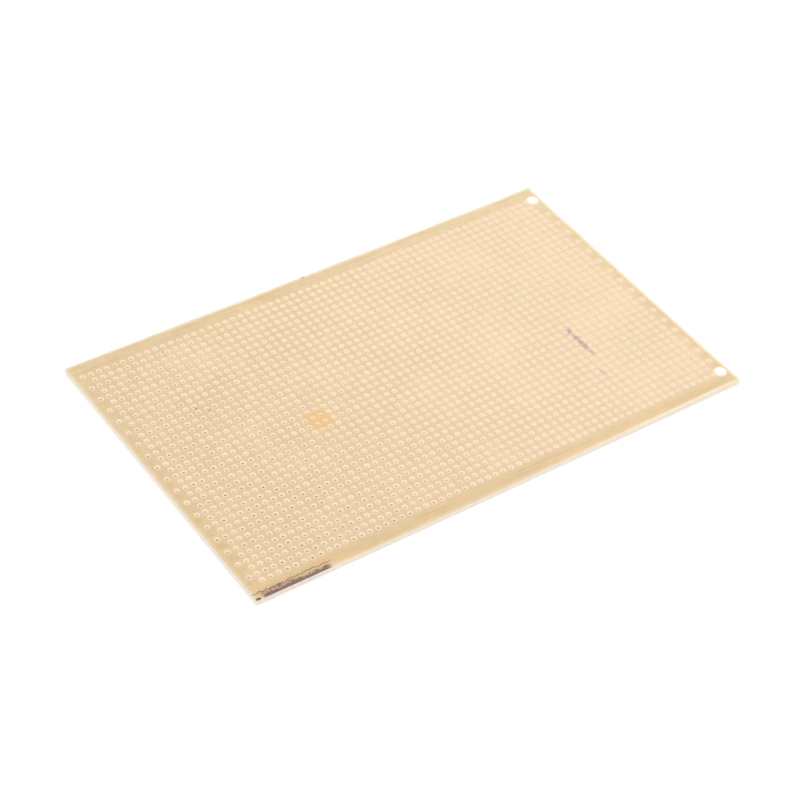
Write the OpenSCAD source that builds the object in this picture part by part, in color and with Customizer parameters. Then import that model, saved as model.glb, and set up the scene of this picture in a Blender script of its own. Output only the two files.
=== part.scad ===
// Prototype board of Eurocard size: one sheet of pale laminate with a grid of lead holes.
// Each lead hole has its own round copper pad on the underside.
// The board lies flat with its plain component side up. The origin is on the surface that
// it lies on, under the middle of the board. X runs along the board and Z is up.
// The short edge at +X has the two fixing holes of an edge connector.
// The sheet has a slight bow: its middle is flat and the two short edges stand a little higher.

/* [Board] */
// Length of the board, along X
board_length = 160; // [80:1:200]
// Width of the board, along Y
board_width = 100; // [50:1:120]
// Thickness of the laminate
laminate_thickness = 1.6; // [0.8:0.1:3.2]
// Rise of the short edges above the middle of the board
bow_height = 0.28; // [0.1:0.01:2]

/* [Hole grid] */
// Distance from one hole to the next, both ways
pitch = 2.54; // [2.3:0.01:5.08]
// Diameter of a lead hole
lead_hole_diameter = 1; // [0.6:0.05:1.3]
// Least distance from the outer hole centres to the short edges
end_margin = 2.5; // [2:0.1:10]
// Least distance from the outer hole centres to the long edges
side_margin = 5.5; // [2:0.1:15]

/* [Copper pads] */
// Width of the copper ring round a lead hole
pad_ring_width = 0.5; // [0.2:0.05:0.6]
// Thickness of the copper foil
copper_thickness = 0.035; // [0.018:0.001:0.105]

/* [Connector fixings] */
// Diameter of the two fixing holes
fixing_hole_diameter = 2.8; // [2:0.1:3.4]
// Least distance from a fixing hole to a lead hole in the same column
fixing_keep_out = 4; // [3:0.1:6]

/* [Hidden] */
$fn = 72;
// How far a drill runs past the board, above and below
drill_overrun = 1;

laminate_colour = [0.90, 0.80, 0.63];
copper_colour = [0.79, 0.50, 0.33];

laminate_bottom = copper_thickness;
drill_length = copper_thickness + laminate_thickness + 2 * drill_overrun;
pad_diameter = lead_hole_diameter + 2 * pad_ring_width;
half_length = board_length / 2;

// Columns count along X and rows count along Y, both from 0. The grid is centred on the board.
last_column = floor((board_length - 2 * end_margin) / pitch);
last_row = floor((board_width - 2 * side_margin) / pitch);
rows = [0:last_row];

function column_x(column) = (column - last_column / 2) * pitch;
function row_y(row) = (row - last_row / 2) * pitch;

// The inner columns are full. The two end columns hold every second hole, and start from
// opposite corners. The right one leaves room for the fixings at its two ends.
function inner_points(row) = [for (column = [1:last_column - 1]) [column, row]];
left_points = [for (row = [last_row:-2:0]) [0, row]];
right_points = [
    for (row = [0:2:last_row])
        if (min(row, last_row - row) * pitch >= fixing_keep_out) [last_column, row]
];
fixing_points = [[last_column, 0], [last_column, last_row]];

// The bow is drawn as flat panels. Every fold lies midway between two columns of holes.
middle_panel_columns = 6;
panel_columns = 7;
first_fold = (middle_panel_columns + (last_column + 1) % 2) / 2 * pitch;
right_folds = [for (x = [first_fold : panel_columns * pitch : column_x(last_column)]) x];
left_folds = [for (k = [len(right_folds) - 1 : -1 : 0]) -right_folds[k]];
fold_lines = concat([-half_length], left_folds, right_folds, [half_length]);

// Height of the bow at x: none over the middle panel, then a parabola towards each short edge
function bow(x) = bow_height * pow(max(abs(x) - first_fold, 0) / (half_length - first_fold), 2);

// The panel that x is on, the slope of a panel, and the height of the sheet at x
function panel_at(x) = max([for (k = [0 : len(fold_lines) - 2]) if (fold_lines[k] <= x) k]);
function slope(panel) =
    (bow(fold_lines[panel + 1]) - bow(fold_lines[panel]))
    / (fold_lines[panel + 1] - fold_lines[panel]);
function sheet_height(x) =
    bow(fold_lines[panel_at(x)]) + slope(panel_at(x)) * (x - fold_lines[panel_at(x)]);

function row_name(row) = str("pad_row_", row < 9 ? "0" : "", row + 1);

// A sheet of the board's outline that follows the bow
module bowed_sheet(bottom, thickness) {
    lower = [for (x = fold_lines) [x, bow(x) + bottom]];
    upper = [for (k = [len(lower) - 1 : -1 : 0]) lower[k] + [0, thickness]];
    translate([0, board_width / 2, 0])
        rotate([90, 0, 0])
            linear_extrude(board_width)
                polygon(concat(lower, upper));
}

// Cylinders through the whole board at some points of the grid, square to the panel they are on
module drills(points, diameter) {
    for (point = points) {
        x = column_x(point.x);
        translate([x, row_y(point.y), sheet_height(x)])
            rotate([0, -atan(slope(panel_at(x))), 0])
                translate([0, 0, -drill_overrun])
                    cylinder(d = diameter, h = drill_length);
    }
}

module laminate() {
    color(laminate_colour)
        difference() {
            bowed_sheet(laminate_bottom, laminate_thickness);
            for (row = rows)
                drills(inner_points(row), lead_hole_diameter);
            drills(left_points, lead_hole_diameter);
            drills(right_points, lead_hole_diameter);
            drills(fixing_points, fixing_hole_diameter);
        }
}

module pads(points) {
    color(copper_colour)
        difference() {
            intersection() {
                bowed_sheet(0, copper_thickness);
                drills(points, pad_diameter);
            }
            drills(points, lead_hole_diameter);
            drills(fixing_points, fixing_hole_diameter);
        }
}

module pad_row(row) {
    pads(inner_points(row));
}

module left_edge_pads() {
    pads(left_points);
}

module right_edge_pads() {
    pads(right_points);
}

laminate();
for (row = rows)
    pad_row(row);
left_edge_pads();
right_edge_pads();
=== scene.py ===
import math
from types import SimpleNamespace

import bpy
from mathutils import Matrix, Vector


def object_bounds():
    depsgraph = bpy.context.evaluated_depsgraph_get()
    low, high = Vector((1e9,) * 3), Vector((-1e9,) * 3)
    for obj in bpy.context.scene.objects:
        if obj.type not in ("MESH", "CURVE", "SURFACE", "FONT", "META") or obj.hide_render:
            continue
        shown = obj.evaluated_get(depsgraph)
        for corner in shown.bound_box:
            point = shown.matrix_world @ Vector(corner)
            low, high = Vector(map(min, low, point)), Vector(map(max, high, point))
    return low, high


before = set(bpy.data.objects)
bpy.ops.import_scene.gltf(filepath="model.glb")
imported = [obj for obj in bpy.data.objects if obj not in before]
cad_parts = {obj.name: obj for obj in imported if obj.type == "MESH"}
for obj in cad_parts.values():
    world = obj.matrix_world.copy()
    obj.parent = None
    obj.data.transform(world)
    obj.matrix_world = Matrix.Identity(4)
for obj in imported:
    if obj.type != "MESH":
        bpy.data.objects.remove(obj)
cad_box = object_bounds()

# Sizes of the board in millimetres: its outline from the frame, the others as in the CAD model
MM_PER_M = 1000.0
HALF_LENGTH, HALF_WIDTH = (round(half * MM_PER_M, 3) for half in cad_box[1][:2])
PITCH = 2.54
LAST_COLUMN, LAST_ROW = 61, 35
FIXING_X, FIXING_Y = LAST_COLUMN / 2 * PITCH, LAST_ROW / 2 * PITCH
SHEET_TOP = 1.635  # top of the sheet in the middle of the board
BOW = 0.28  # rise of the short edges
FLAT_HALF = 7.62  # the middle panel, from the middle of the board to its fold

# How far the weave of the glass cloth under the resin repeats, along X and along Y
CLOTH_X, CLOTH_Y = 0.84, 0.72

# Where the photograph's marks lie on the face, in millimetres from the middle of the board
ORANGE_AT, ORANGE_SQUARE, ORANGE_OVAL = (-30.6, -2.4), (4.2, 3.7), (4.3, 3.8)
INK_BLOTS = (  # middle, half axes, turn in degrees
    ((50.4, -8.9), (1.5, 0.9), 20), ((50.7, -11.9), (1.6, 0.95), -15),
    ((50.8, -14.3), (0.9, 0.9), 0), ((50.6, -16.5), (1.5, 1.0), 10), ((51.0, -19.6), (0.5, 1.1), 0),
)
INK_STREAK = ((50.7, -13.6), (0.9, 7.2), -1)
FAINT_INK = ((48.6, -27.3), (0.7, 1.9), 12)
SPECKS = (  # middle, half axes, turn in degrees, strength
    ((-57.0, 18.0), (0.55, 0.25), 40, 0.85), ((-54.2, 15.8), (0.60, 0.25), 55, 0.85),
    ((-57.5, 15.1), (0.40, 0.22), 10, 0.40), ((-60.0, -36.8), (0.28, 0.24), 0, 0.6),
    ((-45.5, -38.6), (0.26, 0.22), 0, 0.5), ((73.4, -36.5), (0.28, 0.22), 0, 0.6),
    ((43.2, -22.6), (0.24, 0.24), 0, 0.5), ((-2.3, 49.5), (0.9, 0.22), 0, 0.75),
)
TORN_LENGTH, TORN_WIDTH = 24.0, 2.32
TORN_PATCHES = (  # middle, half axes
    ((-74.3, -48.6), (0.6, 0.45)), ((-71.0, -48.5), (1.2, 0.5)),
    ((-64.8, -48.7), (1.5, 0.55)), ((-62.2, -48.6), (1.0, 0.6)),
)
TORN_CORNER = ((-79.2, -49.6), (0.95, 0.5))


# ---------------------------------------------------------------- shader maths
class Val:
    """A shader value that can be used in plain arithmetic."""

    def __init__(self, graph, socket):
        self.graph, self.socket = graph, socket

    def __add__(self, other):
        return self.graph.math("ADD", self, other)

    def __sub__(self, other):
        return self.graph.math("SUBTRACT", self, other)

    def __mul__(self, other):
        return self.graph.math("MULTIPLY", self, other)

    def __truediv__(self, other):
        return self.graph.math("DIVIDE", self, other)

    def __rsub__(self, other):
        return self.graph.math("SUBTRACT", other, self)

    def __neg__(self):
        return self.graph.math("MULTIPLY", self, -1.0)

    __radd__, __rmul__ = __add__, __mul__


class Graph:
    """One material's node tree."""

    def __init__(self, name):
        self.material = bpy.data.materials.new(name)
        self.material.use_nodes = True
        self.tree = self.material.node_tree
        self.tree.nodes.clear()

    def node(self, kind, **settings):
        made = self.tree.nodes.new(kind)
        for key, value in settings.items():
            setattr(made, key, value)
        return made

    def put(self, socket, value):
        if isinstance(value, Val):
            self.tree.links.new(value.socket, socket)
        elif isinstance(value, tuple) and len(value) == 3 and socket.type == "RGBA":
            socket.default_value = (*value, 1.0)
        else:
            socket.default_value = value

    def math(self, operation, *values):
        made = self.node("ShaderNodeMath", operation=operation)
        for socket, value in zip(made.inputs, values):
            self.put(socket, value)
        return Val(self, made.outputs[0])

    def above(self, a, b):
        return self.math("GREATER_THAN", a, b)

    def size(self, a):
        return self.math("ABSOLUTE", a)

    def least(self, a, b):
        return self.math("MINIMUM", a, b)

    def most(self, a, b):
        return self.math("MAXIMUM", a, b)

    def clamp(self, a):
        made = self.node("ShaderNodeClamp")
        self.put(made.inputs[0], a)
        return Val(self, made.outputs[0])

    def ease(self, value, start, end):
        """0 at start, 1 at end, smooth between them. start may be more than end."""
        if start > end:
            return 1.0 - self.ease(value, end, start)
        made = self.node("ShaderNodeMapRange", interpolation_type="SMOOTHSTEP")
        self.put(made.inputs["Value"], value)
        made.inputs["From Min"].default_value = start
        made.inputs["From Max"].default_value = end
        return Val(self, made.outputs[0])

    def triple(self, kind, output, space_scale):
        source = self.node(kind).outputs[output]
        scaled = self.node("ShaderNodeVectorMath", operation="SCALE")
        self.tree.links.new(source, scaled.inputs[0])
        scaled.inputs["Scale"].default_value = space_scale
        parts = self.node("ShaderNodeSeparateXYZ")
        self.tree.links.new(scaled.outputs[0], parts.inputs[0])
        return [Val(self, out) for out in parts.outputs]

    def vector(self, x, y, z=0.0):
        made = self.node("ShaderNodeCombineXYZ")
        for socket, value in zip(made.inputs, (x, y, z)):
            self.put(socket, value)
        return Val(self, made.outputs[0])

    def noise(self, vector, scale, detail=2.0, roughness=0.5, distortion=0.0):
        made = self.node("ShaderNodeTexNoise")
        self.put(made.inputs["Vector"], vector)
        made.inputs["Scale"].default_value = scale
        made.inputs["Detail"].default_value = detail
        made.inputs["Roughness"].default_value = roughness
        made.inputs["Distortion"].default_value = distortion
        return Val(self, made.outputs[0])

    def chance(self, x, y):
        """A random number from 0 to 1 for each whole x and y."""
        made = self.node("ShaderNodeTexWhiteNoise", noise_dimensions="2D")
        self.put(made.inputs["Vector"], self.vector(x, y))
        return Val(self, made.outputs["Value"])

    def mix(self, amount, a, b, blend="MIX"):
        made = self.node("ShaderNodeMix", data_type="RGBA", blend_type=blend)
        colours = [s for s in made.inputs if s.type == "RGBA"]
        self.put(made.inputs[0], amount)
        self.put(colours[0], a)
        self.put(colours[1], b)
        out = [s for s in made.outputs if s.type == "RGBA"][0]
        return Val(self, out)

    def scaled(self, colour, amount):
        """A colour times a number."""
        grey = self.node("ShaderNodeCombineColor")
        for socket in grey.inputs[:3]:
            self.put(socket, amount)
        return self.mix(1.0, colour, Val(self, grey.outputs[0]), "MULTIPLY")

    def finish(self, height=None, **inputs):
        self.material.cycles.emission_sampling = "NONE"
        shader = self.node("ShaderNodeBsdfPrincipled")
        for key, value in inputs.items():
            self.put(shader.inputs[key.replace("_", " ")], value)
        if height is not None:
            bump = self.node("ShaderNodeBump")
            bump.inputs["Strength"].default_value = 1.0
            bump.inputs["Distance"].default_value = 0.001
            self.put(bump.inputs["Height"], height)
            self.tree.links.new(bump.outputs[0], shader.inputs["Normal"])
        out = self.node("ShaderNodeOutputMaterial")
        self.tree.links.new(shader.outputs[0], out.inputs[0])
        return self.material


def spot(g, x, y, at, size, turn=0.0):
    """Distance from the middle of an oval spot, as a share of its half axes."""
    c, s = math.cos(math.radians(turn)), math.sin(math.radians(turn))
    u = ((x - at[0]) * c + (y - at[1]) * s) / size[0]
    v = ((y - at[1]) * c - (x - at[0]) * s) / size[1]
    return g.math("SQRT", u * u + v * v)


# ---------------------------------------------------------------- the laminate
def find_place(g):
    """Where a point is on the laminate, in millimetres, and which kind of face it is on."""
    f = SimpleNamespace()
    f.x, f.y, f.z = g.triple("ShaderNodeTexCoord", "Object", MM_PER_M)
    f.nx, f.ny, f.nz = g.triple("ShaderNodeNewGeometry", "True Normal", 1.0)
    f.place = g.vector(f.x, f.y, f.z)
    f.top = g.above(f.nz, 0.5)
    under = g.above(-f.nz, 0.5)
    outer = g.most(
        g.above(g.size(f.x), HALF_LENGTH - 0.02),
        g.above(g.size(f.y), HALF_WIDTH - 0.02),
    )
    upright = 1.0 - f.top - under
    f.side = upright * outer
    f.wall = upright * (1.0 - outer)
    f.cloud = g.noise(f.place, 0.05, 1.0, 0.5)
    f.mottle = g.noise(f.place, 0.38, 2.0, 0.6)
    f.grain = g.noise(f.place, 2.4, 1.0, 0.6)
    f.blur = (f.grain - 0.5) * 0.3 + (f.mottle - 0.5) * 0.9
    # In the photograph the holes are darkest towards -X and -Y, away from its light
    f.towards_light = f.x * 0.8 + f.y * 0.35
    # A painted light ramp, 0 away from the light and 1 towards it, used to paint colours lighter or
    # darker
    f.fade = g.ease(f.towards_light, -45.0, 55.0)
    return f


def find_hole(g, f):
    """The hole nearest to a point, how far off its middle is, and its random numbers."""
    f.i = f.x / PITCH + LAST_COLUMN / 2
    f.j = f.y / PITCH + LAST_ROW / 2
    column = g.math("FLOOR", f.i + 0.5)
    row = g.math("FLOOR", f.j + 0.5)
    odd_row = g.math("FLOORED_MODULO", row, 2.0)
    inner_column = g.above(column, 0.5) * g.above(LAST_COLUMN - 0.5, column)
    left_column = g.above(0.5, column) * g.above(column, -0.5) * odd_row
    right_column = (
        g.above(column, LAST_COLUMN - 0.5) * g.above(LAST_COLUMN + 0.5, column)
        * (1.0 - odd_row) * g.above(row, 1.5) * g.above(LAST_ROW - 1.5, row)
    )
    f.holed = (
        (inner_column + left_column + right_column)
        * g.above(row, -0.5) * g.above(LAST_ROW + 0.5, row)
    )
    f.first = g.chance(column, row)
    f.second = g.chance(column + 71.0, row + 13.0)
    f.third = g.chance(column + 37.0, row + 91.0)
    du = (f.i - column) * PITCH + (f.second - 0.5) * 0.10
    dv = (f.j - row) * PITCH + (f.third - 0.5) * 0.10
    f.reach = g.math("SQRT", du * du + dv * dv)


def resin_colour(g, f):
    """Stained margins, a paler field between the holes, and glass cloth under the resin."""
    # Where no hole lets the resin pale there is stain, and it fades out between the rows
    wave = g.math("PINGPONG", f.j, 1.0)
    rows_glow = g.clamp(f.j + 1.0) * g.clamp(LAST_ROW + 1.0 - f.j)
    left_glow = g.clamp(f.i + 1.0) * (wave + (1.0 - wave) * g.clamp(f.i))
    right_glow = g.clamp(LAST_COLUMN + 1.0 - f.i) * (
        (1.0 - wave) + wave * g.clamp(LAST_COLUMN - f.i)
    )
    pale = rows_glow * left_glow * right_glow
    long_streak = g.noise(g.vector(f.x * 0.04, f.y * 0.9, 3.0), 1.0, 1.0, 0.55)
    stain = g.mix(g.ease(f.y, -30.0, 30.0), (0.735, 0.525, 0.275), (0.765, 0.575, 0.335))
    # Painted light: the field between the holes is painted lighter towards +X and +Y, along the
    # painted light ramp
    field = g.mix(f.fade, (0.760, 0.575, 0.355), (0.790, 0.600, 0.385))
    base = g.mix(pale, stain, field)
    streaks = (1.0 - pale) * g.ease(long_streak, 0.45, 0.75)
    base = g.mix(streaks * 0.6, base, (0.64, 0.43, 0.215))

    # The rim is paler; along the far edge and towards +X it is painted paler still, a painted
    # highlight where the light falls
    from_far_edge = HALF_WIDTH - f.y
    from_edge = g.least(HALF_LENGTH - g.size(f.x), HALF_WIDTH - g.size(f.y))
    base = g.mix(g.ease(from_edge, 1.4, 0.1) * 0.75, base, (0.83, 0.675, 0.42))
    painted_edge_highlight = g.most(
        g.ease(from_far_edge, 1.1, 0.1) * 0.8,
        g.ease(f.x, 0.0, 70.0) * g.ease(from_edge, 1.2, 0.1) * 0.7,
    )
    base = g.mix(painted_edge_highlight, base, (0.97, 0.86, 0.62))

    # Uneven colour, in patches of three sizes
    uneven = (f.cloud - 0.5) * 0.20 + (f.mottle - 0.5) * 0.24 + (f.grain - 0.5) * 0.06
    base = g.scaled(base, 1.0 + uneven)
    base = g.mix(g.ease(f.mottle, 0.54, 0.72) * 0.32, base, (0.80, 0.56, 0.40))
    base = g.mix(g.ease(f.cloud, 0.50, 0.36) * 0.30, base, (0.76, 0.615, 0.330))
    base = g.mix(g.ease(f.reach, 1.15, 1.75) * pale * 0.14, base, (0.66, 0.49, 0.27))

    f.weave = (
        g.math("SINE", f.x * (2 * math.pi / CLOTH_X))
        * g.math("SINE", f.y * (2 * math.pi / CLOTH_Y))
    )
    return g.scaled(base, 1.0 + f.weave * 0.018)


def add_rings(g, f, base):
    """A whitened ring round each hole, where the punch crazed the resin."""
    # Painted light: the rings are painted a little fainter along the painted light ramp
    ring = f.holed * g.ease(f.reach, 0.95, 0.77) * (0.60 + 0.40 * f.first) * (1.0 - 0.15 * f.fade)
    f.ring = g.clamp(ring * (0.80 + 0.4 * f.grain))
    crazed = g.mix(f.second, (0.940, 0.770, 0.545), (0.955, 0.745, 0.560))
    base = g.mix(f.ring * f.top, base, crazed)
    for sign in (-1.0, 1.0):
        rim = spot(g, f.x, f.y, (FIXING_X - 0.25, sign * FIXING_Y - 0.2), (1.9, 1.9))
        base = g.mix(g.ease(rim, 1.25, 0.75) * f.top * 0.8, base, (0.93, 0.84, 0.66))
    return base


def add_marks(g, f, base):
    """A plain orange patch, an ink smudge and dirt specks."""
    x, y, top = f.x, f.y, f.top
    square = g.most(
        g.size(x - ORANGE_AT[0]) / ORANGE_SQUARE[0], g.size(y - ORANGE_AT[1]) / ORANGE_SQUARE[1]
    )
    oval = spot(g, x, y, ORANGE_AT, ORANGE_OVAL)
    patch = g.ease(square * 0.45 + oval * 0.55 + f.blur * 0.5, 1.10, 0.70) * top
    base = g.mix(patch * 0.50, base, (0.86, 0.49, 0.145))

    ink = None
    for mark in INK_BLOTS:
        blot = g.ease(spot(g, x, y, *mark) + f.blur * 1.2, 1.45, 0.15)
        ink = blot if ink is None else g.most(ink, blot)
    streak = g.ease(spot(g, x, y, *INK_STREAK) + f.blur * 1.1, 1.2, 0.3)
    ink = g.clamp(ink * 0.62 + streak * 0.45)
    base = g.mix(ink * top * 0.80, base, (0.42, 0.27, 0.34))
    faint = g.ease(spot(g, x, y, *FAINT_INK) + f.blur, 1.1, 0.4)
    base = g.mix(faint * top * 0.35, base, (0.42, 0.33, 0.33))

    for *mark, strength in SPECKS:
        speck = g.ease(spot(g, x, y, *mark) + (f.grain - 0.5) * 0.5, 1.15, 0.5)
        base = g.mix(speck * top * strength, base, (0.20, 0.14, 0.085))
    return base


def add_torn_strip(g, f, base):
    """The torn strip along the near long edge, from the corner at -X."""
    x, y, top = f.x, f.y, f.top
    f.along = x + HALF_LENGTH
    inward = y + HALF_WIDTH
    ragged = g.noise(g.vector(x, 0.0, 8.0), 0.55, 2.0, 0.65)
    tear = TORN_WIDTH + (ragged - 0.5) * 2.3
    ends = (
        g.ease(f.along + (f.mottle - 0.5) * 3.0, TORN_LENGTH, TORN_LENGTH - 2.5)
        * g.ease(f.along + (f.grain - 0.5) * 2.0, 1.6, 3.4)
    )
    inside = g.ease(tear - inward, -0.04, 0.10) * ends * top
    f.bruise = g.noise(f.place, 0.95, 2.0, 0.7)
    f.fibres = g.noise(g.vector(x * 0.8, y * 2.2, 5.0), 1.3, 1.0, 0.7)

    # Dark, fibrous fill with patches of bare board
    patches = g.ease(f.bruise, 0.46, 0.58) * g.ease(inward + (f.grain - 0.5) * 1.4, 0.5, 1.4)
    for middle, half in TORN_PATCHES:
        patches = g.most(patches, g.ease(spot(g, x, y, middle, half) + f.blur, 1.2, 0.6))
    torn = g.mix(patches * 0.90, (0.215, 0.130, 0.128), (0.66, 0.47, 0.36))
    torn = g.mix(g.ease(f.fibres, 0.44, 0.62) * 0.50, torn, (0.105, 0.058, 0.060))
    thinner = 0.15 + 0.75 * g.ease(f.along, 7.0, 17.0)
    f.filled = inside * g.ease(tear - inward - thinner + f.blur * 0.8, -0.15, 0.15)
    base = g.mix(inside * 0.35, base, (0.66, 0.44, 0.27))
    base = g.mix(f.filled * 0.90, base, torn)

    # The thin dark line where the tear stops, and a dark spot at the corner
    line = g.ease(g.size(tear - inward), 0.24, 0.05)
    line = line * g.ease(f.along, TORN_LENGTH + 1.5, TORN_LENGTH - 2.5) * top
    base = g.mix(line * (0.55 + 0.4 * f.grain), base, (0.125, 0.065, 0.038))
    f.inside = inside
    corner = g.ease(spot(g, x, y, *TORN_CORNER) + f.blur * 0.6, 1.1, 0.6) * top
    return g.mix(corner * 0.9, base, (0.085, 0.088, 0.045))


def add_cut_faces(g, f, base):
    """Cut sides and the walls of the holes are paler: bare resin and glass ends. Deep in the holes
    the walls get painted shade.
    """
    layers = g.noise(g.vector(f.x * 0.05, f.y * 0.05, f.z * 4.5), 1.0, 0.0, 0.5)
    cut = g.mix(layers, (0.83, 0.73, 0.62), (0.92, 0.85, 0.78))
    cut = g.scaled(cut, 0.90 + 0.14 * f.mottle)
    scuff = f.side * g.above(-f.ny, 0.5) * g.ease(f.along, 26.0, 18.0)
    scuff = scuff * g.ease(f.bruise, 0.35, 0.70)
    cut = g.mix(scuff * 0.30, cut, (0.42, 0.40, 0.42))
    base = g.mix(f.side, base, cut)

    # How deep a point is below the face decides how much painted shade its wall gets, and the shade
    # is painted darker away from the light
    rise = g.most(g.size(f.x) - FLAT_HALF, 0.0) / (HALF_LENGTH - FLAT_HALF)
    depth = SHEET_TOP + rise * rise * BOW - f.z
    f.shade = g.ease(depth, 0.40, 0.85) * g.ease(f.towards_light, 25.0, -50.0)
    f.shade = f.shade * (0.45 + 0.55 * f.third)
    f.fixing = g.most(
        g.ease(spot(g, f.x, f.y, (FIXING_X, FIXING_Y), (2.0, 2.0)), 1.05, 0.95),
        g.ease(spot(g, f.x, f.y, (FIXING_X, -FIXING_Y), (2.0, 2.0)), 1.05, 0.95),
    )
    # Painted shade and light: the wall colour follows the painted light ramp, deep walls are
    # painted dark brown, and the fixing holes' walls are painted near white
    pale_wall = g.mix(f.fade, (0.93, 0.77, 0.57), (0.915, 0.720, 0.535))
    hollow = g.mix(f.shade, pale_wall, (0.52, 0.31, 0.16))
    hollow = g.mix(f.fixing, hollow, (0.98, 0.97, 0.95))
    return g.mix(f.wall, base, hollow)


def laminate_material():
    g = Graph("pale_laminate")
    f = find_place(g)
    find_hole(g, f)
    base = resin_colour(g, f)
    for add in (add_rings, add_marks, add_torn_strip, add_cut_faces):
        base = add(g, f, base)

    lip = f.holed * g.ease(f.reach, 0.98, 0.74)
    raised = lip * 0.008 + f.weave * 0.0016 + f.grain * 0.010 + f.filled * f.fibres * 0.16
    rough = 0.44 + (f.mottle - 0.5) * 0.20 + f.ring * 0.16 + f.inside * 0.30 + f.side * 0.25
    # Painted glow on the hole walls, the fixing holes and the cut sides stands in for light that
    # soaks through the thin sheet
    painted_glow = f.wall * ((0.24 - 0.04 * f.fade) * (1.0 - 0.9 * f.shade) + 0.35 * f.fixing)
    return g.finish(
        height=raised, Base_Color=base, Roughness=g.clamp(rough),
        Specular_IOR_Level=0.35, IOR=1.5,
        Emission_Color=(1.0, 0.87, 0.71), Emission_Strength=painted_glow + f.side * 0.03,
    )


# ---------------------------------------------------------------- the copper
def copper_material():
    g = Graph("lacquered_copper")
    x, y, z = g.triple("ShaderNodeTexCoord", "Object", MM_PER_M)
    place = g.vector(x, y, z)
    column = g.math("FLOOR", x / PITCH + LAST_COLUMN / 2 + 0.5)
    row = g.math("FLOOR", y / PITCH + LAST_ROW / 2 + 0.5)
    own = g.chance(column, row)
    cloud = g.noise(place, 0.06, 3.0, 0.55)
    tarnish = g.noise(place, 1.1, 4.0, 0.65)
    brushed = g.noise(g.vector(x * 0.6, y * 7.0, z), 1.0, 3.0, 0.6)
    base = g.mix(own * 0.5 + cloud * 0.4, (0.80, 0.42, 0.26), (0.70, 0.35, 0.20))
    base = g.mix(g.ease(tarnish, 0.52, 0.75) * 0.5, base, (0.42, 0.20, 0.115))
    base = g.mix(g.ease(tarnish, 0.44, 0.25) * 0.35, base, (0.88, 0.53, 0.36))
    rough = 0.30 + (brushed - 0.5) * 0.22 + g.ease(tarnish, 0.5, 0.8) * 0.25
    return g.finish(
        height=brushed * 0.0016 + tarnish * 0.003, Base_Color=base, Metallic=1.0,
        Roughness=g.clamp(rough), Coat_Weight=0.35, Coat_Roughness=0.18,
    )


laminate = laminate_material()
copper = copper_material()
for name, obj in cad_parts.items():
    chosen = laminate if name == "laminate" else copper
    for entry in obj.material_slots:
        entry.material = chosen


# ---------------------------------------------------------------- floor, lights, camera
def floor():
    g = Graph("white_floor")
    material = g.finish(
        Base_Color=(0.62, 0.62, 0.62), Roughness=0.9, Specular_IOR_Level=0.1,
        Emission_Color=(1.0, 1.0, 1.0), Emission_Strength=0.50,
    )
    half, drop = 6.0, -0.00004  # metres, and just below the board so that they don't touch
    mesh = bpy.data.meshes.new("floor")
    mesh.from_pydata(
        [(-half, -half, drop), (half, -half, drop), (half, half, drop), (-half, half, drop)],
        [], [(0, 1, 2, 3)],
    )
    mesh.materials.append(material)
    obj = bpy.data.objects.new("floor", mesh)
    bpy.context.collection.objects.link(obj)


def sky(strength):
    world = bpy.data.worlds.new("sky")
    bpy.context.scene.world = world
    world.use_nodes = True
    background = world.node_tree.nodes["Background"]
    background.inputs[0].default_value = (1.0, 1.0, 1.0, 1.0)
    background.inputs[1].default_value = strength


def soft_light(name, at, aim, size, power):
    data = bpy.data.lights.new(name, "AREA")
    data.shape, data.size = "DISK", size
    data.energy = power
    obj = bpy.data.objects.new(name, data)
    bpy.context.collection.objects.link(obj)
    obj.location = at
    obj.rotation_euler = (Vector(aim) - Vector(at)).to_track_quat("-Z", "Y").to_euler()


def camera(azimuth, elevation, roll, distance, target, lens):
    az, el, tilt = (math.radians(a) for a in (azimuth, elevation, roll))
    ahead = Vector((math.cos(el) * math.sin(az), math.cos(el) * math.cos(az), -math.sin(el)))
    level = ahead.cross(Vector((0, 0, 1))).normalized()
    rise = level.cross(ahead)
    right = level * math.cos(tilt) + rise * math.sin(tilt)
    up = rise * math.cos(tilt) - level * math.sin(tilt)
    data = bpy.data.cameras.new("camera")
    data.sensor_width, data.lens = 36.0, lens
    data.clip_start, data.clip_end = 0.01, 50.0
    obj = bpy.data.objects.new("camera", data)
    bpy.context.collection.objects.link(obj)
    axes = Matrix((right, up, -ahead)).transposed().to_4x4()
    obj.matrix_world = Matrix.Translation(Vector(target) - ahead * distance) @ axes
    bpy.context.scene.camera = obj


# The photograph's white ground stays white
bpy.context.scene.view_settings.view_transform = "Standard"
floor()
sky(0.84)
soft_light("window", at=(0.46, 0.30, 0.46), aim=(0.03, 0.02, 0.0), size=0.45, power=1.45)
soft_light("fill", at=(-0.55, -0.35, 0.75), aim=(0.0, 0.0, 0.0), size=0.7, power=0.45)
camera(
    azimuth=37.775, elevation=43.33, roll=4.84, distance=0.6515,
    target=(-0.0061, -0.0062, 0.0), lens=106.05,
)
